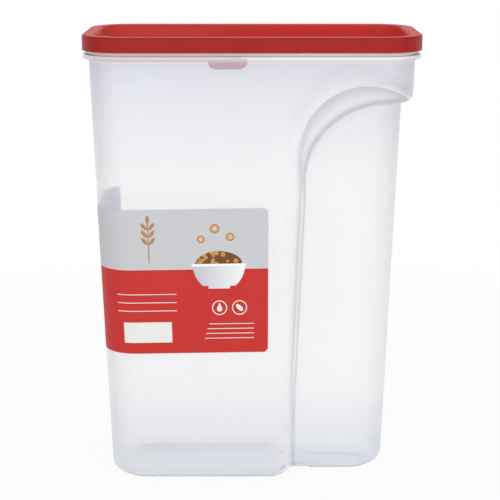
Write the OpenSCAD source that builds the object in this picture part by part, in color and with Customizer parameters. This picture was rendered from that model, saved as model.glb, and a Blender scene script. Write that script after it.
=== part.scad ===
// Cereal container with a press-open pouring flap.
// The pouring end is towards -X and the hand grip towards +X, and the shelf is at z = 0.

/* [Container] */
// Outside length of the body, just under the flange
body_len = 222.8; // [216:0.2:228]
// Outside depth of the body, just under the flange
body_depth = 105; // [100:0.5:112]
// Height of the flange's underside above the shelf
flange_z = 304; // [290:1:330]
// Lean of every wall, narrowing towards the shelf
draft = 1.85; // [1.5:0.05:2.2]
// Plan radius of the body's corners under the flange
corner_r_top = 24.5; // [22:0.5:26]
// Plan radius of the body's corners at the shelf
corner_r_foot = 24; // [21:0.5:24.5]
// Thickness of the walls and floor
wall = 2; // [1.6:0.1:2.4]
// Radius of the bottom edge
base_r = 9; // [8:0.5:9.2]
// Height of the foot ridge
foot_h = 2; // [1.4:0.1:3]
// Distance from the outside wall to the foot ridge
foot_inset = 9.4; // [9.3:0.1:10]
// Width of the foot ridge
foot_w = 3; // [2:0.2:3.4]
// Height of the base panel inside the foot ridge
panel_z = 1.2; // [0.8:0.1:1.4]

/* [Hand grip] */
// Depth of the recess in each side
grip_depth = 18; // [16:0.5:19]
// Depth of the recess in the end
grip_end = 6; // [5.5:0.5:8]
// Place of the recess's front edge at the shelf
grip_x = 27.6; // [24:0.2:32]
// Lean of the recess's front edge
grip_draft = 2.3; // [1.9:0.1:2.5]
// Height of the recess's top edge
grip_top = 273; // [250:1:280]
// Radius of the arch at the recess's top
grip_arch_r = 56; // [48:1:58]
// Rounding of the recess's edge on the sides
grip_edge_r = 13; // [11:0.5:14]
// Rounding of the recess's edge on the end
grip_end_r = 5.3; // [4.5:0.1:5.4]
// Where the foot ridge stops short of the recess's edge
foot_gap_from = 23; // [20:1:26]
// Where the foot ridge starts again under the grip
foot_gap_to = 39; // [36:1:44]

/* [Rim] */
// Reach of the flange beyond the wall
flange_out = 4; // [3.2:0.2:4.6]
// Thickness of the flange
flange_t = 3.1; // [2:0.1:3.2]
// Height of the rim's top above the flange's underside
rim_h = 13.5; // [12.5:0.5:16]
// Reach of the snap bead around the rim
bead_out = 0.6; // [0.4:0.1:0.8]
// Height of the snap bead above the flange's underside
bead_z = 9.5; // [8.5:0.5:10.5]
// Half height of the snap bead
bead_hh = 1.5; // [1:0.1:2]
// Bevel of the flange's edges
flange_bevel = 0.6; // [0.3:0.1:0.9]

/* [Lid] */
// Wall thickness of the lid
lid_wall = 1.8; // [1.5:0.1:2]
// Reach of the skirt beyond the flange
lid_over = 0.4; // [0:0.1:0.8]
// Height of the skirt
skirt_h = 10.4; // [9:0.2:11]
// Rounding of the rim's outer top edge
lid_edge_r = 1; // [0.8:0.1:3]
// Rounding of the rim's edge towards the tray
tray_edge_r = 2.2; // [0.8:0.1:3.8]
// Drop from the rim's top to the deck
deck_drop = 9; // [8:0.5:10]
// Gap between the plug wall and the container's mouth
plug_gap = 0.4; // [0.3:0.1:0.6]
// Gap between the container's rim and the lid above it
seat_gap = 0.7; // [0.3:0.1:1]
// Reach of the plug wall below the spout panel
plug_h = 2.5; // [2:0.5:5]

/* [Spout] */
// Drop from the deck to the spout panel
panel_drop = 3.4; // [3:0.1:4]
// Place of the pouring opening's end nearest the pouring end
mouth_x_from = -94; // [-98:1:-90]
// Place of the pouring opening's other end
mouth_x_to = -47; // [-60:1:-44]
// Width of the pouring opening across the lid
mouth_w = 68; // [50:1:72]
// Corner radius of the pouring opening
mouth_r = 9; // [5:1:12]
// Thickness of the collar around the opening
collar_t = 1.6; // [1.2:0.1:2]
// Depth of the collar below the spout panel
collar_h = 4.4; // [3.4:0.2:6]
// Height of the collar's lip above the spout panel
lip_h = 0.8; // [0.5:0.1:1]

/* [Hinge] */
// Place of the hinge axis along the lid
hinge_x = -16.5; // [-24:0.5:-12]
// Height of the hinge axis below the deck
hinge_drop = 1.8; // [1.6:0.1:2]
// Radius of the hinge pins
pin_r = 1.6; // [1.2:0.1:1.8]
// Length of the hinge pins
pin_len = 2.4; // [1.8:0.2:3]
// Radial clearance of the pins in their bores
pin_gap = 0.05; // [0.03:0.01:0.1]
// Outside length of the well under the hinge
well_len = 27; // [25:0.5:30]
// Inside width of the well across the lid
well_w = 76; // [66:1:78]
// Depth of the well's floor below the deck
well_depth = 12; // [11.6:0.2:14]
// Rounding of the well's bottom edges
well_r = 6; // [4:0.5:7]
// Thickness of the bosses that hold the pins
boss_t = 3.6; // [3.2:0.2:4.4]

/* [Flap] */
// Thickness of the flap
flap_t = 2.2; // [1.8:0.1:2.4]
// Gap around the flap
flap_gap = 0.9; // [0.6:0.1:1.2]
// Gap between the flap and the collar's lip
lip_gap = 0.3; // [0.2:0.1:0.4]
// Radius of the flap's hinge barrel
barrel_r = 2.6; // [2.4:0.1:2.8]
// Length of the press tail behind the hinge
tail_len = 9; // [7:0.5:9.2]
// Depth of the sealing rib under the flap
rib_h = 2.2; // [1.2:0.2:2.6]
// Thickness of the sealing rib
rib_t = 1.2; // [0.8:0.1:1.6]
// Gap between the sealing rib and the collar
rib_gap = 0.4; // [0.3:0.1:0.8]
// Height of the lifting lip at the flap's free end
lift_h = 2.4; // [1.5:0.1:3]
// Radius of the grip ribs on the press tail
press_rib_r = 0.5; // [0.3:0.1:0.8]
// Distance from the tail's sides to the ends of its grip ribs
press_rib_in = 12; // [6:1:20]

/* [Label] */
// Thickness of the label
label_t = 0.25; // [0.15:0.05:0.4]
// Film of adhesive between the label and the wall
glue_t = 0.05; // [0.03:0.01:0.1]
// Height of the label's top edge at its end on the near side
label_top = 203.5; // [190:0.5:210]
// Height of the label itself
label_h = 104; // [80:1:110]
// Turn of the label's far end around the far corner, in degrees
label_turn = 52; // [30:1:80]
// Place of the label's end on the near side
label_x = 11.2; // [0:0.2:14]
// Lean of the label, falling towards the pouring end
label_lean = 0.9; // [0:0.1:1]

/* [Hidden] */
$fn = 64;

// Segments in each corner of the container, and points along each end wall
corner_n = 6;
end_n = 2;
// Points along each side before the recess's edge and behind it
side_n = 2;
tail_n = 3;
// Steps along the arch and around each rounded edge
arch_n = 7;
round_n = 4;
// Segments in each rounding of the lid's rim
rim_n = 6;
// Least distance between two lines along the recess's edge
edge_pitch = 2;

// Levels of the rim and lid, from the shelf up
rim_top = flange_z + rim_h;
lid_top = rim_top + seat_gap + lid_wall;
deck_z = lid_top - deck_drop;
spout_z = deck_z - panel_drop;
hinge_z = deck_z - hinge_drop;
flap_z = spout_z + lip_h + lip_gap;

// Outside half sizes of the lid, and of its plug wall, which fits in the container's mouth
lid_hl = body_len / 2 + flange_out + lid_over;
lid_hd = body_depth / 2 + flange_out + lid_over;
lid_r = corner_r_top + flange_out + lid_over;
plug_in = lid_over + flange_out + wall + plug_gap;
tray_in = plug_in + lid_wall;

// Outside ends of the well along the lid
well_x0 = hinge_x - well_len / 2;
well_x1 = hinge_x + well_len / 2;

// Centre of the arch over the hand grip
arch_z = grip_top - grip_arch_r;
arch_x = grip_x + arch_z * tan(grip_draft) + grip_arch_r;

function mix(a, b, t) = a + (b - a) * t;
function clamp(v, low, high) = min(high, max(low, v));

// Plan of the body at height z, drawn in by inset
function half_len(z, inset) = body_len / 2 - (flange_z - z) * tan(draft) - inset;
function half_depth(z, inset) = body_depth / 2 - (flange_z - z) * tan(draft) - inset;
function plan_r(z, inset) = max(0.5, mix(corner_r_foot, corner_r_top, z / flange_z) - inset);

// Distance inside the edge of the recess, measured on the side wall
function in_grip(x, z) =
    z <= arch_z ? x - grip_x - z * tan(grip_draft) :
    x < arch_x ? grip_arch_r - norm([x - arch_x, z - arch_z]) : grip_top - z;

// Place along the body of the line that lies dist inside that edge, at height z
function edge_x(z, dist) =
    let (r = grip_arch_r - dist, up = clamp(z - arch_z, 0, r))
    arch_x - sqrt(r * r - up * up) + min(0, z - arch_z) * tan(grip_draft);

// Share of a recess's full depth reached at a distance inside its edge:
// a rounding of radius r rolls over into a fillet that ends at the full depth
function sunk(dist, r, depth) =
    dist <= -r ? 0 :
    dist <= 0 ? (r - sqrt(r * r - pow(dist + r, 2))) / depth :
    dist < depth - r ? (r + sqrt(pow(depth - r, 2) - pow(depth - r - dist, 2))) / depth : 1;

// Distances from the edge at which the rounding and the fillet are drawn
function edge_steps(r, depth) = concat(
    [for (k = [0:round_n]) -r * (1 - sin(90 * k / round_n))],
    [for (k = [1:round_n]) (depth - r) * (1 - cos(90 * k / round_n))]);

// Near half of the plan at height z, from the pouring end round to the grip end
function near_half(z, inset) =
    let (hl = half_len(z, inset), hd = half_depth(z, inset), r = plan_r(z, inset))
    let (cx = hl - r, cy = hd - r, er = max(0.5, grip_edge_r - inset))
    let (steps = edge_steps(er, grip_depth), last = len(steps) - 1)
    // the lines along the edge close up where the arch meets the corner of the body
    let (lines = [for (k = [0:last])
        min(edge_x(z, steps[k] - inset), cx - (last + tail_n + 1 - k) * edge_pitch)])
    let (from = lines[0], to = lines[last])
    let (side = concat(
        [for (k = [1:side_n]) mix(-cx, from, k / (side_n + 1))],
        lines,
        [for (k = [1:tail_n]) mix(to, cx, k / (tail_n + 1))]))
    concat(
        [for (k = [0:end_n - 1]) [-hl, -cy * k / end_n]],
        [for (k = [0:corner_n]) let (a = 90 * k / corner_n) [-cx - r * cos(a), -cy - r * sin(a)]],
        [for (x = side)
            let (w = sunk(in_grip(x, z) + inset, er, grip_depth))
            let (slide = clamp((x - to) / (cx - to), 0, 1))
            [x - w * grip_end * slide, -hd + w * grip_depth]],
        [for (k = [0:corner_n])
            let (t = k / corner_n, w = end_sunk(z, inset, t))
            [cx + r * sin(90 * t) - w * grip_end, -cy - r * cos(90 * t) + w * grip_depth]],
        [for (k = [1:end_n])
            let (w = end_sunk(z, inset, 1), t = 1 - k / end_n)
            [hl - w * grip_end, -t * (cy - w * grip_depth)]]);

// The same share around the grip end's corner, from the side (t = 0) to the end (t = 1)
function end_sunk(z, inset, t) =
    sunk(grip_top - z + inset, max(0.5, mix(grip_edge_r, grip_end_r, t) - inset),
        mix(grip_depth, grip_end, t));

// Whole plan as points at height z; rest is how far the foot ridge is kept
function ring(z, inset, rest = 0) =
    let (half = near_half(z, inset), n = len(half))
    let (plan = concat(half, [for (k = [n - 2:-1:1]) [half[k].x, -half[k].y]]))
    [for (p = plan) [p.x, p.y, z + (p.x > foot_gap_from && p.x < foot_gap_to ? rest : 0)]];

// Closed skin through a list of rings, each joined to the next, with a flat cap at both ends
module skin(rings) {
    n = len(rings[0]);
    last = len(rings) - 1;
    polyhedron(
        points = [for (r = rings) for (p = r) p],
        faces = concat(
            [[for (k = [0:n - 1]) k]],
            [for (j = [0:last - 1], k = [0:n - 1])
                let (m = (k + 1) % n)
                each [[j * n + k, (j + 1) * n + k, j * n + m], [j * n + m, (j + 1) * n + k, (j + 1) * n + m]]],
            [[for (k = [n - 1:-1:0]) last * n + k]]),
        convexity = 8);
}

// Heights at which the grip's arch and rounded top edge are drawn, for a skin drawn in by inset
function grip_levels(inset) =
    let (top = grip_top + inset, er = grip_edge_r - inset, fillet = grip_end - grip_end_r + inset)
    concat(
        [for (k = [0:arch_n - 1]) arch_z + (top - 2 * fillet - arch_z) * sin(90 * k / arch_n)],
        [top - 1.6 * fillet, top - fillet, top - fillet / 3, top],
        [for (k = [1:round_n + 1]) top + er * (1 - cos(90 * k / (round_n + 1)))]);

// Bevels of the foot ridge: inside, outside as drawn in, and outside as raised
foot_slope = 0.8;
foot_bevel = 0.5;
foot_bevel_h = 0.4;

// Rings up the outside, from the base panel to the rim's top
outer_rings = concat(
    [ring(panel_z, foot_inset + foot_w + foot_slope),
     ring(0, foot_inset + foot_w, foot_h),
     ring(0, foot_inset + foot_bevel, foot_h),
     ring(foot_bevel_h, foot_inset + 0.1, foot_h - foot_bevel_h),
     ring(foot_h, foot_inset)],
    [for (k = [0:round_n])
        let (a = 90 * k / round_n)
        ring(foot_h + base_r * (1 - cos(a)), base_r * (1 - sin(a)))],
    [for (z = grip_levels(0)) ring(z, 0)],
    [ring(flange_z, 0),
     ring(flange_z, -flange_out + flange_bevel),
     ring(flange_z + flange_bevel, -flange_out),
     ring(flange_z + flange_t - flange_bevel, -flange_out),
     ring(flange_z + flange_t, -flange_out + flange_bevel),
     ring(flange_z + flange_t, 0),
     ring(flange_z + bead_z - bead_hh, 0),
     ring(flange_z + bead_z, -bead_out),
     ring(flange_z + bead_z + bead_hh, 0),
     ring(rim_top, 0.2)]);

// Rings down the inside, from the rim's top to the floor
inner_rings = concat(
    [ring(rim_top, wall), ring(flange_z, wall)],
    [for (k = [len(grip_levels(wall)) - 1:-1:0]) ring(grip_levels(wall)[k], wall)],
    [for (k = [round_n:-1:0])
        let (a = 90 * k / round_n)
        ring(foot_h + base_r - (base_r - wall) * cos(a), wall + (base_r - wall) * (1 - sin(a)))]);

// Translucent body: draft walls, grip recess, foot ridge, flange and rim in one moulding
module container() {
    color("aliceblue", 0.5) skin(concat(outer_rings, inner_rings));
}

// Direction from a corner's centre after some of its segments, a part one lying along its chord
function corner_at(turned) =
    let (k = floor(turned), from = 90 * k / corner_n, to = 90 * (k + 1) / corner_n)
    mix([cos(from), sin(from)], [cos(to), sin(to)], turned - k);

// Path of the label along the wall at height z, from the far side round to the near side
function label_path(z, inset) =
    let (r = plan_r(z, inset), cx = half_len(z, inset) - r, cy = half_depth(z, inset) - r)
    let (far = label_turn * corner_n / 90)
    concat(
        [for (k = concat(far, [for (j = [ceil(far) - 1:-1:0]) j]))
            let (d = corner_at(k))
            [-cx - r * d.x, cy + r * d.y]],
        [for (k = [1:end_n]) [-cx - r, cy * (1 - k / end_n)]],
        [for (k = [0:corner_n]) let (a = 90 * k / corner_n) [-cx - r * cos(a), -cy - r * sin(a)]],
        [for (k = [1:tail_n]) [mix(-cx, label_x, k / tail_n), -cy - r]]);

// Distance along a path from point k to its end
function path_left(path, k) = k >= len(path) - 1 ? 0 : norm(path[k + 1] - path[k]) + path_left(path, k + 1);

// One edge of the label: its height at the near end, and how far it stands off the wall
function label_edge(height, off) =
    let (flat = label_path(height, -off))
    [for (k = [0:len(flat) - 1])
        let (z = height - path_left(flat, k) * tan(label_lean), p = label_path(z, -off)[k])
        [p.x, p.y, z]];

// Printed wrap around the pouring end
module wrap_label() {
    inner = glue_t;
    outer = glue_t + label_t;
    loops = [label_edge(label_top - label_h, inner), label_edge(label_top, inner),
        label_edge(label_top, outer), label_edge(label_top - label_h, outer)];
    n = len(loops[0]);
    color("indianred") polyhedron(
        points = [for (l = loops) for (p = l) p],
        faces = concat(
            [[0, n, 2 * n, 3 * n], [4 * n - 1, 3 * n - 1, 2 * n - 1, n - 1]],
            [for (j = [0:3], k = [0:n - 2])
                let (a = j * n + k, b = ((j + 1) % 4) * n + k)
                each [[a, a + 1, b], [a + 1, b + 1, b]]]),
        convexity = 6);
}

// Flat rectangle with round corners, centred on the origin
module round_rect(hl, hd, r) {
    square([2 * hl, 2 * (hd - r)], center = true);
    square([2 * (hl - r), 2 * hd], center = true);
    for (sx = [-1, 1], sy = [-1, 1]) {
        translate([sx * (hl - r), sy * (hd - r)]) circle(r);
    }
}

// Plate in the lid's outline, drawn in by inset, between two heights
module lid_plate(inset, z0, z1) {
    translate([0, 0, z0]) linear_extrude(z1 - z0) round_rect(lid_hl - inset, lid_hd - inset, lid_r - inset);
}

// Box between two corners
module block(from, to) {
    translate(from) cube(to - from);
}

// Carries a section all round the lid; the section's x is measured out from a corner's centre
module around_lid() {
    straight_x = lid_hl - lid_r;
    straight_y = lid_hd - lid_r;
    for (turn = [0, 180]) {
        rotate(turn) translate([straight_x, straight_y, 0]) rotate([90, 0, 0])
            linear_extrude(2 * straight_y) children();
        rotate(turn + 90) translate([straight_y, straight_x, 0]) rotate([90, 0, 0])
            linear_extrude(2 * straight_x) children();
        rotate(turn) translate([straight_x, straight_y, 0]) rotate_extrude(angle = 90) children();
        rotate(turn) translate([-straight_x, straight_y, 0]) rotate(90) rotate_extrude(angle = 90) children();
    }
}

// Section of the lid's rim: skirt outside, rounded band on top, tray wall inside
module rim_section() {
    skirt_z = lid_top - skirt_h;
    turns = [for (k = [0:rim_n]) 90 * k / rim_n];
    outer_arc = [for (a = turns)
        [lid_r - lid_edge_r * (1 - cos(a)), lid_top - lid_edge_r * (1 - sin(a))]];
    tray_arc = [for (a = turns)
        [lid_r - tray_in + tray_edge_r * (1 - sin(a)), lid_top - tray_edge_r * (1 - cos(a))]];
    polygon(concat(
        [[lid_r - lid_wall, skirt_z], [lid_r, skirt_z]],
        outer_arc,
        tray_arc,
        [[lid_r - tray_in, deck_z - lid_wall],
         [lid_r - plug_in, deck_z - lid_wall],
         [lid_r - plug_in, lid_top - lid_wall],
         [lid_r - lid_wall, lid_top - lid_wall]]));
}

// Outline of the pouring opening, grown by grow
module mouth_outline(grow) {
    translate([(mouth_x_from + mouth_x_to) / 2, 0])
        round_rect((mouth_x_to - mouth_x_from) / 2 + grow, mouth_w / 2 + grow, mouth_r + grow);
}

// Section of the well under the hinge, drawn in by inset, up to height top
module well_section(inset, top) {
    x0 = well_x0 + inset;
    x1 = well_x1 - inset;
    low = deck_z - well_depth - lid_wall + inset;
    r = well_r - inset;
    translate([x0, low + r]) square([x1 - x0, top - low - r]);
    translate([x0 + r, low]) square([x1 - x0 - 2 * r, top - low]);
    for (x = [x0 + r, x1 - r]) {
        translate([x, low + r]) circle(r);
    }
}

// The well's section carried across the lid, over a width
module well_solid(inset, top, width) {
    translate([0, width / 2, 0]) rotate([90, 0, 0]) linear_extrude(width) well_section(inset, top);
}

// Lid: rim, deck, lower spout panel with its opening, and the well that holds the hinge
module lid() {
    boss_y = well_w / 2 + boss_t;
    color("firebrick") difference() {
        union() {
            around_lid() rim_section();
            // deck behind the spout
            intersection() {
                lid_plate(tray_in - 0.1, deck_z - lid_wall, deck_z);
                block([well_x0, -lid_hd, 0], [lid_hl, lid_hd, lid_top]);
            }
            // spout panel and the plug wall around it
            intersection() {
                union() {
                    lid_plate(tray_in - 0.1, spout_z - lid_wall, spout_z);
                    difference() {
                        lid_plate(plug_in, spout_z - lid_wall - plug_h, deck_z);
                        lid_plate(tray_in, spout_z - lid_wall - plug_h - 1, deck_z + 1);
                    }
                }
                block([-lid_hl, -lid_hd, 0], [well_x0 + lid_wall, lid_hd, lid_top]);
            }
            // step between the panel and the deck, across the whole tray
            block([well_x0, -lid_hd + plug_in, spout_z - lid_wall], [well_x0 + lid_wall, lid_hd - plug_in, deck_z]);
            translate([0, 0, spout_z - collar_h]) linear_extrude(collar_h + lip_h) mouth_outline(collar_t);
            well_solid(0, deck_z, 2 * boss_y);
        }
        translate([0, 0, spout_z - collar_h - 1]) linear_extrude(collar_h + lip_h + 2) mouth_outline(0);
        well_solid(lid_wall, deck_z + 1, well_w);
        // way for the flap's neck through the step
        block([well_x0 - 1, -well_w / 2, spout_z], [well_x0 + lid_wall + 1, well_w / 2, deck_z + 1]);
        // blind bores for the hinge pins
        for (side = [-1, 1]) {
            translate([hinge_x, side * (well_w / 2 - 1), hinge_z]) rotate([-90 * side, 0, 0])
                cylinder(r = pin_r + pin_gap, h = 1 + pin_len + 0.4);
        }
    }
}

// Outline of the flap: wide over the panel, narrow through the step and over the well
module flap_outline() {
    hl = lid_hl - tray_in - flap_gap;
    hd = lid_hd - tray_in - flap_gap;
    neck_hd = well_w / 2 - flap_gap;
    neck_x = well_x0 - boss_t;
    intersection() {
        round_rect(hl, hd, lid_r - tray_in - flap_gap);
        translate([-hl, -hd]) square([hl + well_x0 - flap_gap, 2 * hd]);
    }
    translate([neck_x, -neck_hd]) square([hinge_x + tail_len - neck_x, 2 * neck_hd]);
}

// Pouring flap: plate, sealing rib, lifting lip, hinge barrel with its pins, and press tail
module spout_flap() {
    hl = lid_hl - tray_in - flap_gap;
    neck_hd = well_w / 2 - flap_gap;
    lip_hw = lid_hd - lid_r;
    color("whitesmoke", 0.8) {
        translate([0, 0, flap_z]) linear_extrude(flap_t) flap_outline();
        // sealing rib inside the collar
        translate([0, 0, flap_z - rib_h]) linear_extrude(rib_h) difference() {
            mouth_outline(-rib_gap);
            mouth_outline(-rib_gap - rib_t);
        }
        // lifting lip along the free end
        block([-hl, -lip_hw, flap_z + flap_t / 2], [-hl + flap_t, lip_hw, flap_z + flap_t + lift_h]);
        translate([hinge_x, neck_hd, hinge_z]) rotate([90, 0, 0]) cylinder(r = barrel_r, h = 2 * neck_hd);
        translate([hinge_x, well_w / 2 + pin_len, hinge_z]) rotate([90, 0, 0])
            cylinder(r = pin_r, h = well_w + 2 * pin_len);
        // grip ribs on the press tail
        for (k = [1:3]) {
            translate([hinge_x + barrel_r + k * tail_len / 5, neck_hd - press_rib_in, flap_z + flap_t])
                rotate([90, 0, 0]) cylinder(r = press_rib_r, h = 2 * (neck_hd - press_rib_in));
        }
    }
}

container();
wrap_label();
lid();
spout_flap();
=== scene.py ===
"""Studio scene of a cereal container: translucent body, red lid, frosted pouring flap and a wrap label."""
import math

import bpy
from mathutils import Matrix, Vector


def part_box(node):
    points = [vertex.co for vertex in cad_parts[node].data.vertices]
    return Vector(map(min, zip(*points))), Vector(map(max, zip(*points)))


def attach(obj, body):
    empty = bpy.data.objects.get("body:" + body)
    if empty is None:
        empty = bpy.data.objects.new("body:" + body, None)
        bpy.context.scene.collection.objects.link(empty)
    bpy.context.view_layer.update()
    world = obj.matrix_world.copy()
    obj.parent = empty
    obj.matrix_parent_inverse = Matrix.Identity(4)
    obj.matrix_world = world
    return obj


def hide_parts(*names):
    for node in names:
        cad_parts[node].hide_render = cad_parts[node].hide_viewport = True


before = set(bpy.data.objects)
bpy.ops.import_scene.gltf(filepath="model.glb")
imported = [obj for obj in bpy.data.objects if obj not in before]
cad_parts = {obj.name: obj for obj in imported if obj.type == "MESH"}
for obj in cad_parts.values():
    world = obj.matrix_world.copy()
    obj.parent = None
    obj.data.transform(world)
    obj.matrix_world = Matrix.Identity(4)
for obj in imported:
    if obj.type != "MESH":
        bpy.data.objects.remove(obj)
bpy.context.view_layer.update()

MM = 0.001

# ---------------------------------------------------------------- sizes, in millimetres
# They are the driving sizes of the moulded body, its label and the lid, as the frame's solids have them.
BODY_LEN, BODY_DEPTH, FLANGE_Z = 222.8, 105.0, 304.0
DRAFT = math.tan(math.radians(1.85))
CORNER_R_TOP, CORNER_R_FOOT = 24.5, 24.0
WALL, BASE_R = 2.0, 9.0
FOOT_H, FOOT_INSET, FOOT_W, PANEL_Z = 2.0, 9.4, 3.0, 1.2
FOOT_GAP = (23.0, 39.0)
GRIP_DEPTH, GRIP_END, GRIP_X, GRIP_TOP = 18.0, 6.0, 27.6, 273.0
GRIP_LEAN = math.tan(math.radians(2.3))
GRIP_ARCH_R, GRIP_EDGE_R, GRIP_END_R = 56.0, 13.0, 5.3
FLANGE_OUT, FLANGE_T, RIM_H = 4.0, 3.1, 13.5
BEAD_OUT, BEAD_Z, BEAD_HALF = 0.6, 9.5, 1.5
FLANGE_FILLET, FLANGE_EDGE, RIM_EDGE = 0.8, 0.9, 0.6
LABEL_TOP, LABEL_H, LABEL_X = 203.5, 104.0, 11.2
LABEL_LEAN, LABEL_TURN = math.tan(math.radians(0.9)), math.radians(52)
LABEL_T, GLUE_T, LABEL_R = 0.25, 0.05, 2.2
LABEL_BORDER = 61.0

LID_HALF_X, LID_HALF_Y, LID_CORNER_R, LID_TOP = 115.8, 56.9, 28.9, 320.0
ARCH_Z = GRIP_TOP - GRIP_ARCH_R
ARCH_X = GRIP_X + ARCH_Z * GRIP_LEAN + GRIP_ARCH_R
RIM_TOP = FLANGE_Z + RIM_H

# how finely the body and the label are drawn
CORNER_N, END_N, ROUND_N, ARCH_N = 14, 6, 8, 22
EDGE_PITCH = 0.9
SIDE_N, TAIL_N = 6, 6
WALL_LEVELS = (40, 80, 120, 160, 200)
LABEL_TURN_N, LABEL_END_N, LABEL_CORNER_N, LABEL_SIDE_N, LABEL_ROWS = 40, 24, 60, 40, 26


# ---------------------------------------------------------------- shape of the moulded body
def mix(a, b, t):
    """a where t is 0, b where it is 1."""
    return a + (b - a) * t


def clamp(v, low, high):
    return min(high, max(low, v))


def half_len(z, inset):
    """Half the body's length at height z, taken inset inside its outer face."""
    return BODY_LEN / 2 - (FLANGE_Z - z) * DRAFT - inset


def half_depth(z, inset):
    """Half the body's depth in the same way."""
    return BODY_DEPTH / 2 - (FLANGE_Z - z) * DRAFT - inset


def plan_r(z, inset):
    """Radius of the plan's corners in the same way."""
    return max(0.5, mix(CORNER_R_FOOT, CORNER_R_TOP, z / FLANGE_Z) - inset)


def in_grip(x, z):
    """Distance inside the edge of the hand-grip recess, measured on the side wall."""
    if z <= ARCH_Z:
        return x - GRIP_X - z * GRIP_LEAN
    if x < ARCH_X:
        return GRIP_ARCH_R - math.hypot(x - ARCH_X, z - ARCH_Z)
    return GRIP_TOP - z


def edge_x(z, dist):
    """Place along the body of the line that lies dist inside the recess's edge."""
    r = GRIP_ARCH_R - dist
    up = clamp(z - ARCH_Z, 0, r)
    return ARCH_X - math.sqrt(r * r - up * up) + min(0, z - ARCH_Z) * GRIP_LEAN


def sunk(dist, r, depth):
    """Share of a recess's depth at dist inside its edge: a rounding of radius r, then a fillet."""
    if dist <= -r:
        return 0.0
    if dist <= 0:
        return (r - math.sqrt(max(0, r * r - (dist + r) ** 2))) / depth
    if dist < depth - r:
        return (r + math.sqrt(max(0, (depth - r) ** 2 - (depth - r - dist) ** 2))) / depth
    return 1.0


def end_sunk(z, inset, t):
    """The same share round the grip end's corner, from the side (t = 0) to the end (t = 1)."""
    r = max(0.5, mix(GRIP_EDGE_R, GRIP_END_R, t) - inset)
    return sunk(GRIP_TOP - z + inset, r, mix(GRIP_DEPTH, GRIP_END, t))


def near_half(z, inset):
    """Near half of the body's plan, from the pouring end round to the grip end."""
    hl, hd, r = half_len(z, inset), half_depth(z, inset), plan_r(z, inset)
    cx, cy = hl - r, hd - r
    er = max(0.5, GRIP_EDGE_R - inset)
    fillet = GRIP_DEPTH - er
    steps = [-er * (1 - math.sin(math.pi / 2 * k / ROUND_N)) for k in range(ROUND_N + 1)]
    steps += [fillet * (1 - math.cos(math.pi / 2 * k / ROUND_N)) for k in range(1, ROUND_N + 1)]
    last = len(steps) - 1
    lines = [min(edge_x(z, s - inset), cx - (last + TAIL_N - k) * EDGE_PITCH) for k, s in enumerate(steps)]
    edge, foot = lines[0], lines[-1]
    side = [mix(-cx, edge, k / (SIDE_N + 1)) for k in range(1, SIDE_N + 1)]
    side += lines + [mix(foot, cx, k / (TAIL_N + 1)) for k in range(1, TAIL_N + 1)]
    points = [(-hl, -cy * k / END_N) for k in range(END_N)]
    for k in range(CORNER_N + 1):
        a = math.pi / 2 * k / CORNER_N
        points.append((-cx - r * math.cos(a), -cy - r * math.sin(a)))
    for x in side:
        w = sunk(in_grip(x, z) + inset, er, GRIP_DEPTH)
        slide = clamp((x - foot) / (cx - foot), 0, 1)
        points.append((x - w * GRIP_END * slide, -hd + w * GRIP_DEPTH))
    for k in range(CORNER_N + 1):
        t = k / CORNER_N
        a, w = math.pi / 2 * t, end_sunk(z, inset, t)
        points.append((cx + r * math.sin(a) - w * GRIP_END, -cy - r * math.cos(a) + w * GRIP_DEPTH))
    w = end_sunk(z, inset, 1)
    for k in range(1, END_N + 1):
        points.append((hl - w * GRIP_END, -(1 - k / END_N) * (cy - w * GRIP_DEPTH)))
    return points


def ring(z, inset, rest=0.0):
    """Whole plan at height z; rest lifts the foot ridge where it is interrupted."""
    half = near_half(z, inset)
    plan = half + [(x, -y) for x, y in half[-2:0:-1]]
    return [(x, y, z + (rest if FOOT_GAP[0] < x < FOOT_GAP[1] else 0)) for x, y in plan]


def grip_levels(inset):
    """Heights at which the arch and the recess's rounded top edge are drawn."""
    top, er, fillet = GRIP_TOP + inset, GRIP_EDGE_R - inset, GRIP_END - GRIP_END_R + inset
    turn = math.pi / 2
    levels = [mix(ARCH_Z, top - 2 * fillet, math.sin(turn * k / ARCH_N)) for k in range(ARCH_N)]
    levels += [top - fillet * (2 - k / 4) for k in range(8)] + [top]
    return levels + [top + er * (1 - math.cos(turn * k / (2 * ROUND_N))) for k in range(1, 2 * ROUND_N + 1)]


BASE_STEP = math.pi / 2 / ROUND_N


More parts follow.
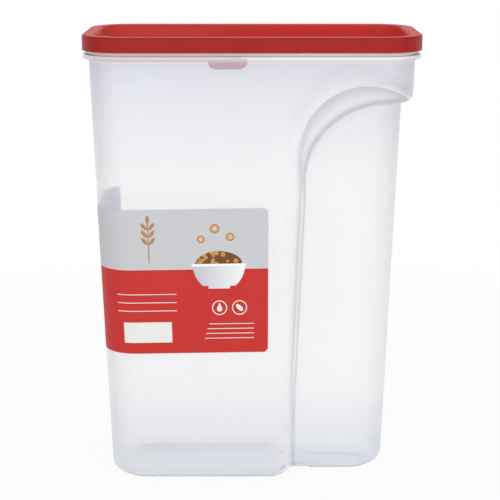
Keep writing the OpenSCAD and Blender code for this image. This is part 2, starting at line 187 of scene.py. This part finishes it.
def outside_rings():
    """Rings up the outside: base panel, foot ridge, rounded base, wall, flange, snap bead and rim."""
    rings = [ring(PANEL_Z, FOOT_INSET + FOOT_W + 0.8), ring(0.2, FOOT_INSET + FOOT_W + 0.1, FOOT_H - 0.2),
             ring(0, FOOT_INSET + FOOT_W - 0.3, FOOT_H), ring(0, FOOT_INSET + 0.7, FOOT_H),
             ring(0.3, FOOT_INSET + 0.3, FOOT_H - 0.3), ring(FOOT_H, FOOT_INSET)]
    rings += [ring(FOOT_H + BASE_R * (1 - math.cos(BASE_STEP * k)), BASE_R * (1 - math.sin(BASE_STEP * k)))
              for k in range(ROUND_N + 1)]
    rings += [ring(z, 0) for z in WALL_LEVELS]
    rings += [ring(z, 0) for z in grip_levels(0)]
    top, knee = FLANGE_Z + FLANGE_T, FLANGE_EDGE / 3
    rings += [ring(FLANGE_Z - FLANGE_FILLET, 0), ring(FLANGE_Z - FLANGE_FILLET / 4, -FLANGE_FILLET / 4),
              ring(FLANGE_Z, -FLANGE_FILLET)]
    rings += [ring(FLANGE_Z, -FLANGE_OUT + FLANGE_EDGE), ring(FLANGE_Z + knee, -FLANGE_OUT + knee),
              ring(FLANGE_Z + FLANGE_EDGE, -FLANGE_OUT), ring(top - FLANGE_EDGE, -FLANGE_OUT),
              ring(top - knee, -FLANGE_OUT + knee), ring(top, -FLANGE_OUT + FLANGE_EDGE)]
    rings += [ring(top, -RIM_EDGE), ring(top + RIM_EDGE / 3, -RIM_EDGE / 4), ring(top + RIM_EDGE, 0)]
    rings += [ring(FLANGE_Z + BEAD_Z + s * BEAD_HALF, -BEAD_OUT * (1 - s * s)) for s in (-1, -0.5, 0, 0.5, 1)]
    return rings + [ring(RIM_TOP - RIM_EDGE, 0), ring(RIM_TOP - RIM_EDGE / 4, RIM_EDGE / 4),
                    ring(RIM_TOP, RIM_EDGE)]


def inside_rings():
    """Rings down the inside from the rim's top to the floor."""
    knee = RIM_EDGE / 4
    rings = [ring(RIM_TOP, WALL - RIM_EDGE), ring(RIM_TOP - knee, WALL - knee)]
    rings += [ring(RIM_TOP - RIM_EDGE, WALL), ring(FLANGE_Z, WALL)]
    rings += [ring(z, WALL) for z in reversed(grip_levels(WALL))]
    rings += [ring(z, WALL) for z in reversed(WALL_LEVELS)]
    turns = [BASE_STEP * k for k in range(ROUND_N, -1, -1)]
    return rings + [ring(FOOT_H + BASE_R - (BASE_R - WALL) * math.cos(turn),
                         WALL + (BASE_R - WALL) * (1 - math.sin(turn))) for turn in turns]


# ---------------------------------------------------------------- making meshes
def mesh_object(name, points, faces, smooth=70.0):
    """A mesh from points in millimetres, shaded smooth except at edges sharper than smooth degrees."""
    mesh = bpy.data.meshes.new(name)
    mesh.from_pydata([tuple(c * MM for c in p) for p in points], [], faces)
    mesh.validate()
    mesh.shade_smooth()
    mesh.set_sharp_from_angle(angle=math.radians(smooth))
    obj = bpy.data.objects.new(name, mesh)
    bpy.context.scene.collection.objects.link(obj)
    return obj


def cap_faces(n, at):
    """Faces of a flat cap over ring at: strips between the mirrored halves of the plan."""
    base = at * n
    half = n // 2
    faces = []
    for k in range(half):
        a, b = base + k, base + k + 1
        c, d = base + (n - k - 1) % n, base + (n - k) % n
        if k == 0:
            faces.append((base, base + 1, base + n - 1))
        elif k == half - 1:
            faces.append((a, b, d))
        else:
            faces.append((a, b, c, d))
    return [tuple(reversed(f)) if at == 0 else f for f in faces]


def skin(name, rings):
    """Closed skin through rings, each joined to the next, capped at both ends."""
    n, count = len(rings[0]), len(rings)
    faces = cap_faces(n, 0)
    for j in range(count - 1):
        for k in range(n):
            m = (k + 1) % n
            faces.append((j * n + k, j * n + m, (j + 1) * n + m, (j + 1) * n + k))
    faces += cap_faces(n, count - 1)
    return mesh_object(name, [p for r in rings for p in r], faces)


# ---------------------------------------------------------------- materials
class Wire:
    """A socket of a material's nodes that takes part in Python arithmetic."""

    def __init__(self, paint, socket):
        self.paint, self.socket = paint, socket

    def _math(self, operation, *terms):
        return self.paint.node("ShaderNodeMath", {"operation": operation}, dict(enumerate(terms)))[0]

    def __add__(self, other):
        return self._math("ADD", self, other)

    def __sub__(self, other):
        return self._math("SUBTRACT", self, other)

    def __rsub__(self, other):
        return self._math("SUBTRACT", other, self)

    def __mul__(self, other):
        return self._math("MULTIPLY", self, other)

    def __truediv__(self, other):
        return self._math("DIVIDE", self, other)

    def __pow__(self, other):
        return self._math("POWER", self, other)

    def __gt__(self, other):
        return self._math("GREATER_THAN", self, other)

    def __lt__(self, other):
        return self._math("LESS_THAN", self, other)

    def __abs__(self):
        return self._math("ABSOLUTE", self)

    def either(self, other):
        return self._math("MAXIMUM", self, other)

    def both(self, other):
        return self._math("MINIMUM", self, other)

    def share(self):
        """The value held between 0 and 1."""
        return self.both(1.0).either(0.0)

    def apply(self, operation, *terms):
        return self._math(operation, self, *terms)

    __radd__ = __add__
    __rmul__ = __mul__


class Outputs:
    """The outputs of a node by name or number, each as a Wire."""

    def __init__(self, paint, made):
        self.paint, self.made = paint, made

    def __getitem__(self, key):
        return Wire(self.paint, self.made.outputs[key])


class Paint:
    """A material with one Principled shader, whose sockets are set by name."""

    def __init__(self, name, **values):
        self.material = bpy.data.materials.new(name)
        self.material.use_nodes = True
        self.tree = self.material.node_tree
        self.shader = self.tree.nodes["Principled BSDF"]
        self.output = self.tree.nodes["Material Output"]
        self.set(**values)

    def node(self, kind, settings=None, inputs=None):
        """Adds a node: its settings first, such as a ramp's stops, then the values or links of its inputs."""
        made = self.tree.nodes.new(kind)
        for key, value in (settings or {}).items():
            if key == "stops":
                ramp = made.color_ramp
                while len(ramp.elements) < len(value):
                    ramp.elements.new(0.5)
                for element, (place, colour) in zip(ramp.elements, value):
                    element.position, element.color = place, colour
            else:
                setattr(made, key, value)
        for key, value in (inputs or {}).items():
            self.feed(made.inputs[key], value)
        return Outputs(self, made)

    def feed(self, socket, value):
        if isinstance(value, Wire):
            self.tree.links.new(value.socket, socket)
        else:
            socket.default_value = value

    def set(self, **values):
        for key, value in values.items():
            self.feed(self.shader.inputs[key.replace("_", " ")], value)

    def noise(self, scale, detail=3.0, rough=0.5, vector=None):
        inputs = {"Scale": scale, "Detail": detail, "Roughness": rough}
        inputs["Vector"] = vector or self.node("ShaderNodeTexCoord")["Object"]
        return self.node("ShaderNodeTexNoise", {}, inputs)["Fac"]

    def ramp(self, factor, stops):
        """A colour that runs through stops, each a place from 0 to 1 and a colour."""
        return self.node("ShaderNodeValToRGB", {"stops": stops}, {0: factor})[0]

    def spot(self, space):
        """The shaded point in the given space, as a node with X, Y and Z outputs."""
        return self.node("ShaderNodeSeparateXYZ", {}, {0: self.node("ShaderNodeTexCoord")[space]})

    def blend(self, factor, a, b):
        """Colour a where factor is 0, colour b where it is 1."""
        inputs = {0: factor, 6: a, 7: b}
        return self.node("ShaderNodeMix", {"data_type": "RGBA"}, inputs)[2]

    def bump(self, height, strength, distance):
        inputs = {"Strength": strength, "Distance": distance, "Height": height}
        self.set(Normal=self.node("ShaderNodeBump", {}, inputs)["Normal"])


def rgb(r, g, b):
    """A colour as it shows, 0 to 255, in the linear values that shaders take."""
    linear = [c / 255 / 12.92 if c <= 10 else ((c / 255 + 0.055) / 1.055) ** 2.4 for c in (r, g, b)]
    return (*linear, 1.0)


def fade(value, start, end):
    """0 up to start and 1 from end on, straight between; start may be the larger."""
    return ((value - start) / (end - start)).share()


def between(value, low, high):
    """Mask of the values from low to high."""
    return (value > low) * (value < high)


def square(value):
    return value * value


def inside_oval(x, y, centre, half_x, half_y):
    """Mask of an oval that lies straight."""
    return square((x - centre[0]) / half_x) + square((y - centre[1]) / half_y) < 1.0


def turned_oval(x, y, centre, half_x, half_y, degrees):
    """Mask of an oval turned about its centre."""
    c, s = math.cos(math.radians(degrees)), math.sin(math.radians(degrees))
    dx, dy = x - centre[0], y - centre[1]
    return square((dx * c + dy * s) / half_x) + square((dy * c - dx * s) / half_y) < 1.0


# Share of the wall's density that throws a shadow: clear plastic throws a faint one.
SHADOW_SHARE = 0.1

# Against height as a share of the whole: how cloudy the wall is, and its tint, both carrying painted shade
# and light.
# Painted shade: towards the base and up towards the flange the wall is hazier and its tint darker and bluer.
CLOUD = ((0.0, 0.38), (0.08, 0.3), (0.2, 0.25), (0.62, 0.28), (0.86, 0.42), (0.95, 0.44), (0.958, 0.6),
         (0.966, 0.65), (0.97, 0.9), (1.0, 0.8))
# Painted light: above the flange the wall is hazier and near white, lifting the rim where the lid's skirt
# shades it.
SHADED_TINTS = ((0.0, (204, 208, 222)), (0.015, (218, 222, 236)), (0.1, (234, 237, 245)), (0.2, (249, 249, 251)),
         (0.7, (249, 249, 252)), (0.95, (226, 231, 245)), (0.96, (244, 240, 240)), (0.97, (252, 248, 250)))

# Painted shade: the recess's edge gets a dark line painted into the wall's tint and haze.
# Line along the recess's edge, in millimetres: its reach to its outer and inner side, and how far it stands
# inside the edge. Over the arch it is wider and stands further out; at the foot it stands further in.
LINE_OUT, LINE_IN, LINE_OFF = 2.0, 0.8, 1.0
ARCH_OUT_MORE, ARCH_IN_MORE, ARCH_OFF, FOOT_OFF = 2.0, 2.5, 3.8, 2.2
# Heights between which the arch's part and the foot's part of that come in.
LINE_ARCH, LINE_FOOT = (205.0, 245.0), (60.0, 0.0)

# The slope outside the line, painted lighter by less haze: where it fades in and out.
SLOPE_IN, SLOPE_OUT = (-16.0, -5.0), (0.0, -4.0)

# Middle and radius of the soft crease over the arch, painted as shade under it and a highlight over it; its
# reach to its two sides, and where it fades in.
CREASE_X, CREASE_Z, CREASE_R = 78.0, 241.5, 45.6
CREASE_UNDER, CREASE_OVER = 7.0, 6.0
CREASE_ARCH = (240.0, 256.0)


def grip_shade_and_highlight(x, z):
    """Masks of painted shade and painted highlight round the hand-grip recess.

    Gives the painted dark line along its edge, the painted shade under and highlight over the crease above
    it, and the slope outside its upright edge, painted lighter.
    """
    centre = z.both(ARCH_Z) * GRIP_LEAN + (GRIP_X + GRIP_ARCH_R)
    across = GRIP_ARCH_R - (square((centre - x).either(0.0)) + square((z - ARCH_Z).either(0.0))) ** 0.5
    high = fade(z, *LINE_ARCH)
    across = across + high * ARCH_OFF - fade(z, *LINE_FOOT) * FOOT_OFF - LINE_OFF
    outer, inner = LINE_OUT + high * ARCH_OUT_MORE, LINE_IN + high * ARCH_IN_MORE
    edge = (1 + across / outer).share() * (1 - across / inner).share()
    slope = fade(across, *SLOPE_IN) * fade(across, *SLOPE_OUT) * (1 - high)
    beyond = (square(x - CREASE_X) + square(z - CREASE_Z)) ** 0.5 - CREASE_R
    arch = fade(z, *CREASE_ARCH)
    under = fade(beyond, -CREASE_UNDER, 0.0) * (beyond < 0) * arch
    over = fade(beyond, CREASE_OVER, 0.0) * (beyond > 0) * arch
    return edge, under, over, slope


def wall_paint(name, haze, rim_haze, marks):
    """Milky clear polypropylene, hazier towards the rim and the base and where it is seen edge on; its tint
    and haze carry painted shade, painted light and painted highlight.
    """
    paint = Paint(name, IOR=1.49)
    place = paint.spot("Object")
    x, z = place[0] / MM, place[2] / MM
    height = z / RIM_TOP
    cloud = paint.ramp(height, [(level, (share, share, share, 1)) for level, share in CLOUD])
    tint = paint.ramp(height, [(level, rgb(*tone)) for level, tone in SHADED_TINTS])
    edge, under, over, slope = grip_shade_and_highlight(x, z)
    # Painted shade: a dark tint along the recess's edge and under its crease; painted highlight: white over
    # the crease.
    tint = paint.blend(edge.either(under * 0.4) * marks, tint, rgb(196, 194, 206))
    tint = paint.blend(over * marks, tint, rgb(255, 255, 255))
    flow = paint.noise(14.0, 3.0, 0.55)
    fine = paint.noise(420.0, 2.0, 0.5)
    facing = paint.node("ShaderNodeLayerWeight", {}, {"Blend": 0.35})["Facing"]
    edge_on = facing ** 2.0 * rim_haze * mix(0.3, 1.0, fade(height, 0.0, 0.08))
    # The painted marks also thicken the haze, and the slope painted lighter thins it.
    painted_mark_haze = (edge * 0.25 + under * 0.1 + over * 0.2 - slope * 0.12) * marks
    solid = (cloud * haze + painted_mark_haze + flow * 0.04 + edge_on * (1 - slope * 0.6)).share()
    shadow = paint.node("ShaderNodeLightPath")["Is Shadow Ray"]
    paint.set(Base_Color=tint, Alpha=solid * (1 - shadow * (1 - SHADOW_SHARE)), Roughness=0.2 + flow * 0.1)
    paint.bump(fine, 0.05, 0.0003)
    return paint


def lid_paint():
    """Red polypropylene with a fine satin texture; the tray is a lighter red, as painted light, and the outer
    top edge a darker red, as a painted dark reflection.
    """
    paint = Paint("red_polypropylene", IOR=1.49, Specular_IOR_Level=0.2)
    place = paint.spot("Object")
    past_x = (abs(place[0]) / MM - (LID_HALF_X - LID_CORNER_R)).either(0.0)
    past_y = (abs(place[1]) / MM - (LID_HALF_Y - LID_CORNER_R)).either(0.0)
    inward = LID_CORNER_R - (square(past_x) + square(past_y)) ** 0.5
    below = LID_TOP - place[2] / MM
    # Painted light: the tray is a lighter copy of the skirt's red. Painted dark reflection: the rounded outer
    # top edge is darker.
    tray = fade(inward, 1.6, 2.0) * fade(below, 1.0, 2.2)
    painted_dark_edge = fade(below, 1.5, 0.8) * fade(inward, 1.4, 0.8)
    flow = paint.noise(22.0, 3.0, 0.5)
    grain = paint.noise(1500.0, 2.0, 0.6)
    skirt_red = paint.blend(flow, rgb(158, 26, 23), rgb(166, 31, 27))
    painted_lit_tray_red = paint.blend(flow, rgb(190, 52, 46), rgb(197, 58, 51))
    red = paint.blend(tray, skirt_red, painted_lit_tray_red)
    paint.set(Base_Color=paint.blend(painted_dark_edge * 0.7, red, rgb(126, 20, 19)))
    paint.set(Roughness=0.4 + grain * 0.06 + flow * 0.06)
    paint.bump(grain, 0.12, 0.00015)
    return paint


def flap_paint():
    """Frosted white polypropylene."""
    paint = Paint("frosted_polypropylene", IOR=1.49)
    flow = paint.noise(30.0, 3.0, 0.5)
    grain = paint.noise(1800.0, 2.0, 0.6)
    paint.set(Base_Color=paint.blend(flow, rgb(226, 226, 231), rgb(236, 236, 240)))
    paint.set(Alpha=0.62 + flow * 0.1, Roughness=0.35 + grain * 0.15)
    paint.bump(grain, 0.15, 0.00015)
    return paint


# The two browns of the printed cereal. Places on the print are in millimetres from its near lower corner.
TOAST_PALE, TOAST_DARK = rgb(226, 184, 120), rgb(178, 120, 60)


def grain_ear(x, y):
    """Mask of an ear of grain: pairs of grains up both sides of a stalk."""
    ear_x, ear_y, pitch = 82.0, 79.0, 5.2
    top = ear_y + 3 * pitch
    side = abs(x - ear_x)
    row = (y - ear_y).apply("FLOORED_MODULO", pitch)
    grains = turned_oval(side, row, (2.6, pitch / 2), 3.1, 1.25, 52) * between(y, ear_y, top)
    tip = inside_oval(x, y, (ear_x, top + 2.2), 1.25, 3.0)
    stalk = (side < 0.45) * between(y, LABEL_BORDER + 5.0, top)
    return grains.either(tip).either(stalk)


def cereal_bowl(paint, colour, x, y):
    """Adds a white bowl heaped with rings of cereal, standing across the border of the two fields."""
    bowl_x, rim_y, bowl_r = 34.0, 64.0, 18.0
    heap = inside_oval(x, y, (bowl_x, rim_y), bowl_r - 1.5, 10.0) * (y > rim_y)
    cell_place = paint.node("ShaderNodeCombineXYZ", {}, {0: x * 0.24, 1: y * 0.24, 2: 1.0})[0]
    inputs = {"Vector": cell_place, "Scale": 1.0, "Randomness": 0.7}
    from_middle = paint.node("ShaderNodeTexVoronoi", {"feature": "F1"}, inputs)["Distance"]
    toast = paint.blend(from_middle * 2.0, TOAST_PALE, TOAST_DARK)
    cereal = paint.blend(between(from_middle, 0.13, 0.42), rgb(120, 76, 38), toast)
    colour = paint.blend(heap, colour, cereal)
    side = inside_oval(x, y, (bowl_x, rim_y), bowl_r, 19.0) * (y < rim_y) * (y > rim_y - 15.0)
    foot = between(x, bowl_x - 7.5, bowl_x + 7.5) * between(y, rim_y - 17.0, rim_y - 14.8)
    glaze = paint.blend(fade(x, bowl_x - bowl_r, bowl_x + bowl_r), rgb(250, 250, 250), rgb(196, 200, 206))
    colour = paint.blend(side.either(foot), colour, glaze)
    rim = between(x, bowl_x - bowl_r - 0.8, bowl_x + bowl_r + 0.8) * between(y, rim_y - 0.9, rim_y + 0.9)
    return paint.blend(rim, colour, rgb(252, 252, 252))


def loose_rings(paint, colour, x, y):
    """Adds three rings of cereal over the bowl."""
    for ring_x, ring_y, ring_r in ((26.0, 84.0, 3.0), (36.5, 90.0, 3.4), (46.0, 82.5, 2.8)):
        away = square(x - ring_x) + square(y - ring_y)
        loose = between(away, (0.42 * ring_r) ** 2, ring_r ** 2)
        colour = paint.blend(loose, colour, paint.blend(away / ring_r ** 2, TOAST_PALE, TOAST_DARK))
    return colour


def white_marks(x, y):
    """Mask of two round devices with a leaf and a drop, rules to write on, and a blank panel."""
    leaf_x, drop_x, device_y = 20.0, 34.0, 33.0
    marks = turned_oval(x, y, (leaf_x, device_y), 3.2, 1.6, 45)
    for device_x in (leaf_x, drop_x):
        away = square(x - device_x) + square(y - device_y)
        marks = marks.either(between(away, 4.6 ** 2, 5.3 ** 2))
    drop_tip = (abs(x - drop_x) < (36.6 - y) * 0.5) * between(y, 32.6, 36.6)
    marks = marks.either(inside_oval(x, y, (drop_x, 32.2), 1.9, 2.0)).either(drop_tip)
    for rule_y in (43.0, 37.0, 31.0):
        marks = marks.either(between(x, 64.0, 106.0) * between(y, rule_y, rule_y + 0.55))
    for rule_y in (21.0, 17.5, 14.0, 10.5):
        marks = marks.either(between(x, 10.0, 48.0 - rule_y * 0.3) * between(y, rule_y, rule_y + 0.5))
    return marks.either(between(x, 68.0, 102.0) * between(y, 8.0, 23.0))


def label_paint():
    """Printed film: grey over red, with a bowl, an ear of grain, plain devices and a blank panel."""
    paint = Paint("printed_film", IOR=1.45, Specular_IOR_Level=0.25)
    place = paint.spot("UV")
    x, y = place[0] * LABEL_RUN, place[1] * LABEL_H
    ink = paint.noise(900.0, 3.0, 0.6)
    tone = paint.noise(25.0, 2.0, 0.5)
    grey = paint.blend(tone, rgb(203, 204, 207), rgb(207, 208, 211))
    red = paint.blend(tone, rgb(200, 50, 46), rgb(206, 54, 50))
    colour = paint.blend(y < LABEL_BORDER, grey, red)
    colour = paint.blend(grain_ear(x, y), colour, rgb(176, 142, 92))
    colour = cereal_bowl(paint, colour, x, y)
    colour = loose_rings(paint, colour, x, y)
    colour = paint.blend(white_marks(x, y), colour, rgb(240, 238, 236))
    paint.set(Base_Color=colour, Roughness=0.46 + ink * 0.08)
    paint.bump(ink, 0.05, 0.0001)
    return paint


def label_back_paint():
    """Back of the film, pale blue white through its adhesive."""
    paint = Paint("film_back", IOR=1.45)
    grain = paint.noise(300.0, 3.0, 0.6)
    paint.set(Base_Color=paint.blend(grain, rgb(204, 216, 246), rgb(214, 226, 250)))
    paint.set(Roughness=0.5 + grain * 0.1)
    return paint


# ---------------------------------------------------------------- wrap label
def label_path(z, inset):
    """Plan of the label's run at height z, from the far side round to its near end."""
    r = plan_r(z, inset)
    cx, cy = half_len(z, inset) - r, half_depth(z, inset) - r
    path = []
    for k in range(LABEL_TURN_N, -1, -1):
        a = LABEL_TURN * k / LABEL_TURN_N
        path.append((-cx - r * math.cos(a), cy + r * math.sin(a)))
    path += [(-cx - r, cy * (1 - 2 * k / LABEL_END_N)) for k in range(1, LABEL_END_N)]
    for k in range(LABEL_CORNER_N + 1):
        a = math.pi / 2 * k / LABEL_CORNER_N
        path.append((-cx - r * math.cos(a), -cy - r * math.sin(a)))
    path += [(mix(-cx, LABEL_X, k / LABEL_SIDE_N), -cy - r) for k in range(1, LABEL_SIDE_N + 1)]
    return path


def run_left(path):
    """Distance from each point of a path to its end."""
    left = [0.0]
    for a, b in zip(path[-2::-1], path[:0:-1]):
        left.append(left[-1] + math.dist(a, b))
    return left[::-1]


LABEL_RUN = run_left(label_path(LABEL_TOP, 0))[0]


def make_label():
    """Thin closed film with round corners, with print coordinates on its outside."""
    flat = label_path(LABEL_TOP - LABEL_H / 2, 0)
    runs = run_left(flat)
    columns, rows = len(flat), LABEL_ROWS
    points, uvs = [], []
    for off in (GLUE_T + LABEL_T, GLUE_T):
        for k in range(columns):
            nearest = min(runs[k], LABEL_RUN - runs[k])
            short = LABEL_R - math.sqrt(max(0, LABEL_R ** 2 - max(0, LABEL_R - nearest) ** 2))
            for j in range(rows + 1):
                v = mix(short, LABEL_H - short, j / rows)
                z = LABEL_TOP - LABEL_H + v - runs[k] * LABEL_LEAN
                x, y = label_path(z, -off)[k]
                points.append((x, y, z))
                uvs.append((runs[k] / LABEL_RUN, v / LABEL_H))
    side = columns * (rows + 1)
    faces = []
    for k in range(columns - 1):
        for j in range(rows):
            a = k * (rows + 1) + j
            b = a + rows + 1
            faces.append((a, b, b + 1, a + 1))
    outside = len(faces)
    faces += [tuple(side + i for i in reversed(f)) for f in faces]
    edge = [k * (rows + 1) for k in range(columns)]
    edge += [(columns - 1) * (rows + 1) + j for j in range(1, rows + 1)]
    edge += [k * (rows + 1) + rows for k in range(columns - 2, -1, -1)]
    edge += list(range(rows - 1, 0, -1))
    faces += [(a, side + a, side + b, b) for a, b in zip(edge, edge[1:] + edge[:1])]
    obj = mesh_object("label_film", points, faces, 50.0)
    layer = obj.data.uv_layers.new(name="print")
    for loop in obj.data.loops:
        layer.data[loop.index].uv = uvs[loop.vertex_index]
    obj.data.materials.append(label_paint().material)
    obj.data.materials.append(label_back_paint().material)
    for face in obj.data.polygons:
        face.material_index = 0 if face.index < outside else 1
    return obj


# ---------------------------------------------------------------- the pieces
def dress(node, paint, bevel):
    """A frame solid kept as it is, with its finish and softly rounded edges."""
    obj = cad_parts[node]
    obj.data.materials.clear()
    obj.data.materials.append(paint.material)
    rounding = obj.modifiers.new("edges", "BEVEL")
    rounding.width, rounding.segments = bevel * MM, 3
    rounding.limit_method, rounding.angle_limit = "ANGLE", math.radians(40)
    rounding.harden_normals = True
    return obj


outside = outside_rings()
rim_start = (len(outside) - 1) * len(outside[0])
body = skin("milky_body", outside + inside_rings())
body.data.materials.append(wall_paint("milky_outside", haze=1.0, rim_haze=0.5, marks=1.0).material)
body.data.materials.append(wall_paint("milky_inside", haze=0.15, rim_haze=0.15, marks=0.0).material)
for face in body.data.polygons:
    face.material_index = int(min(face.vertices) >= rim_start)
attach(body, "container")
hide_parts("container")

label = make_label()
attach(label, "container")
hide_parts("wrap_label")

dress("lid", lid_paint(), 0.35)
dress("spout_flap", flap_paint(), 0.3)


# ---------------------------------------------------------------- studio
class Studio(Paint):
    """Nodes of the floor's material or of the world, with a white that only seeing rays meet."""

    def __init__(self, tree, shader, output):
        self.tree, self.shader, self.output = tree, shader, output

    def whiten(self, kind, share):
        """Mixes in the given share of white for rays that see it straight, in gloss or through a wall."""
        rays = self.node("ShaderNodeLightPath")
        seen = rays["Is Camera Ray"].either(rays["Is Glossy Ray"]).either(rays["Is Transmission Ray"])
        white = self.node(kind, {}, {"Color": (1, 1, 1, 1), "Strength": 1.0})[0]
        lit = Wire(self, self.shader.outputs[0])
        mixed = self.node("ShaderNodeMixShader", {}, {0: seen * share, 1: lit, 2: white})[0]
        self.feed(self.output.inputs[0], mixed)


# Share of plain white in the floor near the object, where the rest keeps its shadow.
NEAR_SHARE = 0.92
FLOOR_HALF = 6.0


def make_floor():
    """Pale floor that fades into the white backdrop and keeps a soft shadow near the object."""
    corners = [(x * FLOOR_HALF, y * FLOOR_HALF, 0) for x, y in ((-1, -1), (1, -1), (1, 1), (-1, 1))]
    mesh = bpy.data.meshes.new("studio_floor")
    mesh.from_pydata(corners, [], [(0, 1, 2, 3)])
    floor = bpy.data.objects.new("studio_floor", mesh)
    bpy.context.scene.collection.objects.link(floor)
    paint = Paint("pale_floor", Base_Color=(0.75, 0.75, 0.75, 1), Roughness=0.9)
    place = paint.spot("Object")
    away = (square(place[0]) + square(place[1])) ** 0.5
    share = mix(NEAR_SHARE, 1.0, fade(away, 0.25, 0.75))
    Studio(paint.tree, paint.shader, paint.output).whiten("ShaderNodeEmission", share)
    mesh.materials.append(paint.material)


def make_world(level):
    """Even white light of the given level from all round."""
    world = bpy.data.worlds.new("studio")
    bpy.context.scene.world = world
    world.use_nodes = True
    light = world.node_tree.nodes["Background"]
    light.inputs["Color"].default_value = (1, 1, 1, 1)
    light.inputs["Strength"].default_value = level
    Studio(world.node_tree, light, world.node_tree.nodes["World Output"]).whiten("ShaderNodeBackground", 1.0)


def soft_box(name, place, target, size, power):
    """A soft light of the given width and height, aimed at a point and unseen itself."""
    lamp = bpy.data.lights.new(name, "AREA")
    lamp.shape, lamp.energy = "RECTANGLE", power
    lamp.size, lamp.size_y = size
    obj = bpy.data.objects.new(name, lamp)
    obj.location = place
    obj.rotation_euler = (Vector(target) - Vector(place)).to_track_quat("-Z", "Y").to_euler()
    obj.visible_camera = False
    bpy.context.scene.collection.objects.link(obj)


lid_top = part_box("lid")[1][2]
middle = (0, 0, lid_top / 2)
make_floor()
make_world(0.45)
for lamp_name, lamp_place, lamp_size, lamp_power in (
        ("top", (0.0, -0.08, 1.15), (0.9, 0.9), 7.0), ("front", (0.0, -1.3, 0.5), (1.2, 0.6), 3.5),
        ("left", (-0.8, -0.85, 0.4), (0.35, 0.8), 1.4), ("right", (0.8, -0.85, 0.4), (0.35, 0.8), 1.7)):
    soft_box(lamp_name, lamp_place, middle, lamp_size, lamp_power)

# ---------------------------------------------------------------- camera
# The view looks down a little from in front; distances are from the middle of the lid's top.
CAMERA_BACK, CAMERA_UP, CAMERA_SIDE = 1.0147, 0.0871, -0.00140
CAMERA_DOWN = math.radians(13.58)
LENS = 103.75

camera = bpy.data.cameras.new("camera")
camera.lens, camera.sensor_width = LENS, 36.0
eye = bpy.data.objects.new("camera", camera)
eye.location = (CAMERA_SIDE, -CAMERA_BACK, lid_top + CAMERA_UP)
eye.rotation_euler = (math.pi / 2 - CAMERA_DOWN, 0, 0)
bpy.context.scene.collection.objects.link(eye)
bpy.context.scene.camera = eye

scene = bpy.context.scene
scene.view_settings.view_transform = "Standard"
# Enough for every wall that stands behind another to be seen through.
scene.cycles.transparent_max_bounces = 24
